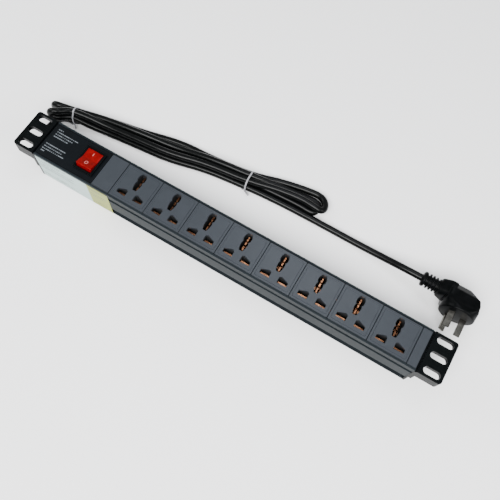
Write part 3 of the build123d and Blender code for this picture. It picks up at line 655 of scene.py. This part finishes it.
class Plug(bpy.types.Operator):
    """Make the right-angle plug: drum, neck and ribbed strain relief"""

    bl_idname = "rack_strip.plug"
    bl_label = "Plug"

    def execute(self, context):
        material = material_named("Black plug PVC", soft_pvc, "Black plug PVC", "#030404", "#070809",
                                  (0.26, 0.36), 0.04)
        body = lofted("plug_body_moulded", [body_ring(y) for y in BODY_STEPS], material,
                      BODY_SHARP)
        neck = lofted("plug_neck", [neck_ring(*station) for station in NECK_STATIONS], material,
                      BODY_SHARP)
        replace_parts(body, "plug_body")
        sleeve, ribs = self.relief(material)
        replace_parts(sleeve, "plug_strain_relief")
        return {"FINISHED"}

    def relief(self, material):
        """Make the tapered sleeve of the strain relief and its ribs."""
        sleeve = lofted("strain_relief_sleeve", [sleeve_ring(x, radius) for x, radius in SLEEVE_STATIONS],
                        material, SLEEVE_SHARP)
        values = {"Count": RIBS, "Pitch": RIB_PITCH * MM,
                  "Start": ((RELIEF_X + RIB_FIRST) * MM, RELIEF_Y * MM, PLUG_Z * MM),
                  "Rib radius": RIB_R * MM, "Rib thickness": RIB_SECTION_R * MM}
        ribs = grown("strain_relief_ribs", relief_rib_tree(), values, material)
        return sleeve, ribs


def relief_rib_tree():
    """Ribs in a row along X: each is a circle swept with a small round section."""
    tree, values = new_tree("Strain relief ribs", {"Count": 4, "Pitch": 0.0035, "Start": (0.0, 0.0, 0.0),
                                                   "Rib radius": 0.007, "Rib thickness": 0.001})
    step = add_node(tree, "ShaderNodeCombineXYZ", {"X": values["Pitch"]})
    row = add_node(tree, "GeometryNodeMeshLine", {"Count": values["Count"], "Start Location": values["Start"],
                                                 "Offset": step.outputs[0]})
    circle = add_node(tree, "GeometryNodeCurvePrimitiveCircle", {
        "Resolution": SLEEVE_POINTS, "Radius": values["Rib radius"]})
    section = add_node(tree, "GeometryNodeCurvePrimitiveCircle", {
        "Resolution": 12, "Radius": values["Rib thickness"]})
    rib = add_node(tree, "GeometryNodeCurveToMesh", {
        "Curve": circle.outputs[0], "Profile Curve": section.outputs[0]})
    placed = add_node(tree, "GeometryNodeInstanceOnPoints", {
        "Points": row.outputs[0], "Instance": rib.outputs[0], "Rotation": (0.0, pi / 2, 0.0)})
    close_tree(tree, placed.outputs[0], values["Material"])
    return tree


# ---------------------------------------------------------------- switch details
# Millimetres, apart from the tilt. Distances along the rocker and up from it are from its pivot.
SWITCH_X, SWITCH_Y, PIVOT_Z, TILT = -161.4, 0.7, 43.65, radians(-11.0)
FACE_MIDDLE, FACE_END, FACE_HALF = 3.05, 5.2, 11.05      # face: height at middle and ends, half its length
ON_ENDS, ON_HALF = (4.6, 7.8), 0.32                      # stroke of the I: its two ends, half its width
OFF_MIDDLE, OFF_REACH, OFF_HALF = -5.6, (1.5, 1.9), 0.3  # ring of the O: centre, half sizes, half its width
OFF_POINTS = 40
INK_UNDER, INK_OVER = -0.1, 0.05                         # underside and top of the ink, from the face
SPRING_TOP, SPRING_L, SPRING_R, SPRING_WIRE, SPRING_TURNS = 4.2, 2.8, 1.25, 0.16, 5.0


def on_rocker(x, along, up):
    """Point on the tilted rocker: x across, along its rocking direction, up from its pivot."""
    y = SWITCH_Y + along * cos(TILT) - up * sin(TILT)
    z = PIVOT_Z + along * sin(TILT) + up * cos(TILT)
    return Vector(((SWITCH_X + x) * MM, y * MM, z * MM))


def rocker_height(along):
    """Height of the rocker's shallow V above its pivot."""
    return FACE_MIDDLE + (FACE_END - FACE_MIDDLE) * abs(along) / FACE_HALF


class SwitchDetails(bpy.types.Operator):
    """Make the rocker's printed on and off marks and the coil spring under it"""

    bl_idname = "rack_strip.switch_details"
    bl_label = "Switch details"

    def execute(self, context):
        ink = material_named("Pale pink ink", screen_ink, "Pale pink ink", "#B86A64")
        bm = bmesh.new()
        self.stroke(bm, [(0.0, along) for along in ON_ENDS], ON_HALF, closed=False)
        ring = [(OFF_REACH[0] * cos(a), OFF_MIDDLE + OFF_REACH[1] * sin(a)) for a in around(OFF_POINTS)]
        self.stroke(bm, ring, OFF_HALF, closed=True)
        mesh_piece("rocker_marks", bm, ink, ROCKER)
        steel = material_named("Zinc-plated steel", zinc_plated_steel)
        values = {"Turns": SPRING_TURNS, "Coil radius": SPRING_R * MM, "Wire radius": SPRING_WIRE * MM,
                  "Height": SPRING_L * MM, "Base": tuple(on_rocker(0, 0, -SPRING_TOP - SPRING_L)),
                  "Tilt": TILT}
        spring = grown("switch_spring_coil", spring_tree(), values, steel, ROCKER)
        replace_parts(spring, "switch_spring")
        return {"FINISHED"}

    def stroke(self, bm, points, half, closed):
        """Raised line of ink over the rocker's face."""
        count = len(points)
        rings = []
        for i, (x, along) in enumerate(points):
            ahead = points[(i + 1) % count] if closed else points[min(i + 1, count - 1)]
            behind = points[i - 1] if closed else points[max(i - 1, 0)]
            line = Vector((ahead[0] - behind[0], ahead[1] - behind[1])).normalized()
            side = Vector((-line.y, line.x)) * half
            ring = []
            for sign, lift in ((-1, INK_UNDER), (-1, INK_OVER), (1, INK_OVER), (1, INK_UNDER)):
                px, pa = x + sign * side.x, along + sign * side.y
                ring.append(on_rocker(px, pa, rocker_height(pa) + lift))
            rings.append(ring)
        loft(bm, rings + rings[:1] if closed else rings, caps=not closed)


def spring_tree():
    """Coil spring: a spiral swept with a round wire, tilted with the rocker."""
    tree, values = new_tree("Coil spring", {"Turns": 5.0, "Coil radius": 0.001, "Wire radius": 0.0002,
                                           "Height": 0.003, "Base": (0.0, 0.0, 0.0), "Tilt": 0.0})
    spiral = add_node(tree, "GeometryNodeCurveSpiral", {
        "Resolution": 24, "Rotations": values["Turns"], "Start Radius": values["Coil radius"],
        "End Radius": values["Coil radius"], "Height": values["Height"]})
    wire = add_node(tree, "GeometryNodeCurvePrimitiveCircle", {
        "Resolution": 8, "Radius": values["Wire radius"]})
    coil = add_node(tree, "GeometryNodeCurveToMesh", {
        "Curve": spiral.outputs[0], "Profile Curve": wire.outputs[0], "Fill Caps": True})
    lean = add_node(tree, "ShaderNodeCombineXYZ", {"X": values["Tilt"]})
    moved = add_node(tree, "GeometryNodeTransform", {
        "Geometry": coil.outputs[0], "Translation": values["Base"], "Rotation": lean.outputs[0]})
    close_tree(tree, moved.outputs[0], values["Material"])
    return tree


# ---------------------------------------------------------------- print
# Rows on the control panel: (start x, end x, y) in millimetres.
PANEL_ROWS = [(-209.5, -201, 14.5), (-209.5, -182.5, 11.5), (-209.5, -186.5, 8.5), (-209.5, -191, 5.5),
              (-211, -186, -5), (-211, -187, -8.2), (-211.5, -184, -11.2), (-211, -205, -14)]
# Rows on the front labels: (start x, end x, z) in millimetres.
LABEL_ROWS = [(-212, -176, 36.5), (-212, -184, 33), (-212, -168, 28.4), (-212, -172, 25), (-212, -170, 21.6),
              (-212, -178, 9.6), (-212, -166, 6), (-148, -129, 36), (-148, -133, 32.4), (-148, -128, 26),
              (-148, -131, 22), (-148, -130, 8)]
INK_FILM = 0.06 * MM
DASH_FILL = 0.85                # length of a dash over the dash pitch
DASH_UNEVEN = (0.45, 1.25)      # shortest and longest dash, over that length


def dash_row_tree():
    """One row of small dashes of uneven length along X."""
    tree, values = new_tree("Dash row", {"Count": 8, "Start": (0.0, 0.0, 0.0), "Pitch": 0.0026,
                                        "Dash size": (0.0018, 0.0013, 0.0001), "Seed": 1})
    step = add_node(tree, "ShaderNodeCombineXYZ", {"X": values["Pitch"]})
    row = add_node(tree, "GeometryNodeMeshLine", {"Count": values["Count"], "Start Location": values["Start"],
                                                 "Offset": step.outputs[0]})
    dash = add_node(tree, "GeometryNodeMeshCube", {"Size": values["Dash size"]})
    limits = {2: DASH_UNEVEN[0], 3: DASH_UNEVEN[1], "Seed": values["Seed"]}
    stretch = add_node(tree, "FunctionNodeRandomValue", limits, data_type="FLOAT")
    scale = add_node(tree, "ShaderNodeCombineXYZ", {"X": stretch.outputs[1], "Y": 1.0, "Z": 1.0})
    placed = add_node(tree, "GeometryNodeInstanceOnPoints", {
        "Points": row.outputs[0], "Instance": dash.outputs[0], "Scale": scale.outputs[0]})
    close_tree(tree, placed.outputs[0], values["Material"])
    return tree


def join(pieces, name):
    """Join the dash rows of one sheet into a single mesh."""
    bm = bmesh.new()
    for piece in pieces:
        bm.from_mesh(piece.data)
    mesh = bpy.data.meshes.new(name)
    bm.to_mesh(mesh)
    bm.free()
    for piece in pieces:
        bpy.data.objects.remove(piece)
    return mesh


class PrintedMarks(bpy.types.Operator):
    """Print rows of plain dashes on the control panel and on the front labels"""

    bl_idname = "rack_strip.printed_marks"
    bl_label = "Printed marks"

    def execute(self, context):
        settings = context.scene.rack_print
        tree = dash_row_tree()
        panel_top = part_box("control_panel")[1][2]
        label_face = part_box("rating_label")[0][1]
        pale = material_named("Pale grey ink", screen_ink, "Pale grey ink", "#5A6065")
        dark = material_named("Dark grey ink", screen_ink, "Dark grey ink", "#4A5052")
        length, height = DASH_FILL * settings.dash_pitch, settings.dash_height
        rows = [((x0 * MM, y * MM, panel_top), x1 - x0) for x0, x1, y in PANEL_ROWS]
        self.print_rows("control_panel_print", tree, rows, (length, height, INK_FILM), pale, settings)
        rows = [((x0 * MM, label_face, z * MM), x1 - x0) for x0, x1, z in LABEL_ROWS]
        self.print_rows("front_label_print", tree, rows, (length, INK_FILM, height), dark, settings)
        return {"FINISHED"}

    def print_rows(self, name, tree, rows, dash, ink, settings):
        """Grow every row of dashes and keep them as one piece."""
        grown_rows = []
        for i, (start, length) in enumerate(rows):
            count = max(int(length * MM / settings.dash_pitch), 2)
            values = {"Count": count, "Start": start, "Pitch": settings.dash_pitch, "Dash size": dash,
                      "Seed": settings.seed + i}
            grown_rows.append(grown(f"{name}_{i}", tree, values, ink))
        settle(name, join(grown_rows, name), ink, STRIP)


# ---------------------------------------------------------------- finishes of the frame's nodes
class Finishes(bpy.types.Operator):
    """Give every node of the frame the finish of the real piece"""

    bl_idname = "rack_strip.finishes"
    bl_label = "Finishes"

    def execute(self, context):
        settings = context.scene.rack_strip
        grey = spark_finished_polycarbonate(tuple(settings.insert_colour))
        brass, nylon = rolled_brass(), matt_black_nylon()
        steel = material_named("Zinc-plated steel", zinc_plated_steel)
        black = gloss_black_abs()
        brown = soft_pvc("Brown PVC", "#4A2A18", "#6B3F24")
        earth = striped_earth_pvc()
        finishes = {
            "housing_extrusion": anodised_aluminium(), "left_end_cap": black, "right_end_cap": black,
            "switch_housing": black, "control_panel": satin_black_polycarbonate(), "blank_panel_left": grey,
            "blank_panel_right": grey, "busbar_carrier": nylon, "switch_plunger": nylon, "cord_gland": black,
            "live_busbar": brass, "neutral_busbar": brass, "earth_busbar": brass, "switch_terminals": brass,
            "switch_teeter": brass, "earth_ring": brass, "earth_screw": steel, "left_end_screws": steel,
            "right_end_screws": steel, "live_wire": brown, "switched_live_wire": brown,
            "neutral_wire": soft_pvc("Blue PVC", "#1D3F8A", "#2B58B0"), "earth_wire_in": earth,
            "earth_wire_out": earth,
            "neon_lamp": lamp_glass(), "rating_label": printed_film("White label film", "#9FB4B1", "#93A8A5"),
            "inspection_label": printed_film("Yellow-green label film", "#848B2C", "#787F27"),
            "switch_rocker": translucent_red_polycarbonate(tuple(settings.rocker_colour)),
        }
        finishes.update({f"outlet_face_{number}": grey for number in OUTLETS})
        finishes.update({f"outlet_base_{number}": nylon for number in OUTLETS})
        finishes.update({name: nickel_plated_brass() for name in PLUG_PINS})
        for name, material in finishes.items():
            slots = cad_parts[name].material_slots
            if not slots:
                raise RuntimeError(f"{name} has no material slot")
            for entry in slots:
                entry.material = material
        return {"FINISHED"}


# ---------------------------------------------------------------- stage
# Metres and radians, with the sensor and the lens in millimetres.
CAMERA_AT = (0.115, -0.192, 0.587)
CAMERA_AZIMUTH, CAMERA_ELEVATION, CAMERA_ROLL = radians(114.415), radians(-68.608), radians(6.406)
CAMERA_SENSOR, CAMERA_LENS, CAMERA_CLIP = 36.0, 43.2, (0.01, 20.0)
WORLD_COLOUR, WORLD_STRENGTH = "#F4F6F8", 0.66
FLOOR_HALF = 4.0
# Soft boxes: name, place, point they face, size, power in watts, colour.
SOFT_BOXES = [
    ("key_soft_box", (0.1, -1.1, 1.5), (0.0, 0.0, 0.0), (1.4, 1.0), 86.0, "#FFFFFF"),
    ("sheen_soft_box", (0.02, 0.42, 1.05), (0.05, 0.0, 0.0), (0.42, 0.3), 3.0, "#F2F6FF"),
    ("left_soft_box", (-1.3, 0.0, 0.9), (0.0, 0.0, 0.0), (0.5, 0.9), 9.0, "#FFFFFF"),
    ("right_soft_box", (1.3, -0.1, 0.9), (0.0, 0.0, 0.0), (0.5, 0.9), 12.0, "#FFFFFF"),
]


class Stage(bpy.types.Operator):
    """Set up the camera, the soft boxes, the world and the pale floor"""

    bl_idname = "rack_strip.stage"
    bl_label = "Stage"

    def execute(self, context):
        scene = context.scene
        camera = bpy.data.objects.new("camera", bpy.data.cameras.new("camera"))
        camera.data.sensor_width, camera.data.lens = CAMERA_SENSOR, CAMERA_LENS
        camera.data.clip_start, camera.data.clip_end = CAMERA_CLIP
        flat = cos(CAMERA_ELEVATION)
        forward = Vector((flat * cos(CAMERA_AZIMUTH), flat * sin(CAMERA_AZIMUTH), sin(CAMERA_ELEVATION)))
        level = forward.cross(Vector((0, 0, 1))).normalized()
        above = level.cross(forward)
        right = cos(CAMERA_ROLL) * level + sin(CAMERA_ROLL) * above
        up = cos(CAMERA_ROLL) * above - sin(CAMERA_ROLL) * level
        turn = Matrix((right, up, -forward)).transposed().to_4x4()
        camera.matrix_world = Matrix.Translation(CAMERA_AT) @ turn
        scene.collection.objects.link(camera)
        scene.camera = camera
        for name, spot, target, size, power, colour in SOFT_BOXES:
            data = bpy.data.lights.new(name, "AREA")
            data.shape, data.size, data.size_y = "RECTANGLE", size[0], size[1]
            data.energy, data.color = power, linear(colour)[:3]
            lamp = bpy.data.objects.new(name, data)
            aim = (Vector(target) - Vector(spot)).to_track_quat("-Z", "Y").to_matrix().to_4x4()
            lamp.matrix_world = Matrix.Translation(spot) @ aim
            scene.collection.objects.link(lamp)
        world = bpy.data.worlds.new("Studio")
        world.use_nodes = True
        background = world.node_tree.nodes["Background"]
        background.inputs["Color"].default_value = linear(WORLD_COLOUR)
        background.inputs["Strength"].default_value = WORLD_STRENGTH
        scene.world = world
        bm = bmesh.new()
        bmesh.ops.create_grid(bm, x_segments=2, y_segments=2, size=FLOOR_HALF)
        mesh = bpy.data.meshes.new("floor")
        bm.to_mesh(mesh)
        bm.free()
        mesh.materials.append(pale_floor())
        floor = bpy.data.objects.new("floor", mesh)
        scene.collection.objects.link(floor)
        return {"FINISHED"}


# ---------------------------------------------------------------- panel and run
class StripPanel(bpy.types.Panel):
    """Lists the steps that dress the power strip"""

    bl_idname = "VIEW3D_PT_rack_strip"
    bl_label = "Rack power strip"
    bl_space_type = "VIEW_3D"
    bl_region_type = "UI"
    bl_category = "Power strip"

    def draw(self, context):
        for group in (context.scene.rack_strip, context.scene.rack_print):
            for name in group.__annotations__:
                self.layout.prop(group, name)
        for step in STEPS:
            self.layout.operator(step.bl_idname)


GROUPS = (StripSettings, PrintSettings)
STEPS = (Stage, PowerCord, TwistTies, Plug, SwitchDetails, PrintedMarks, Finishes)


def register():
    """Register the settings, the steps and the panel."""
    for cls in (*GROUPS, *STEPS, StripPanel):
        bpy.utils.register_class(cls)
    bpy.types.Scene.rack_strip = bpy.props.PointerProperty(type=StripSettings)
    bpy.types.Scene.rack_print = bpy.props.PointerProperty(type=PrintSettings)


def unregister():
    """Undo register."""
    del bpy.types.Scene.rack_print
    del bpy.types.Scene.rack_strip
    for cls in reversed((*GROUPS, *STEPS, StripPanel)):
        bpy.utils.unregister_class(cls)


def main():
    """Run every step in order."""
    register()
    bpy.ops.rack_strip.stage()
    bpy.ops.rack_strip.power_cord()
    bpy.ops.rack_strip.twist_ties()
    bpy.ops.rack_strip.plug()
    bpy.ops.rack_strip.switch_details()
    bpy.ops.rack_strip.printed_marks()
    bpy.ops.rack_strip.finishes()


if __name__ == "__main__":
    main()
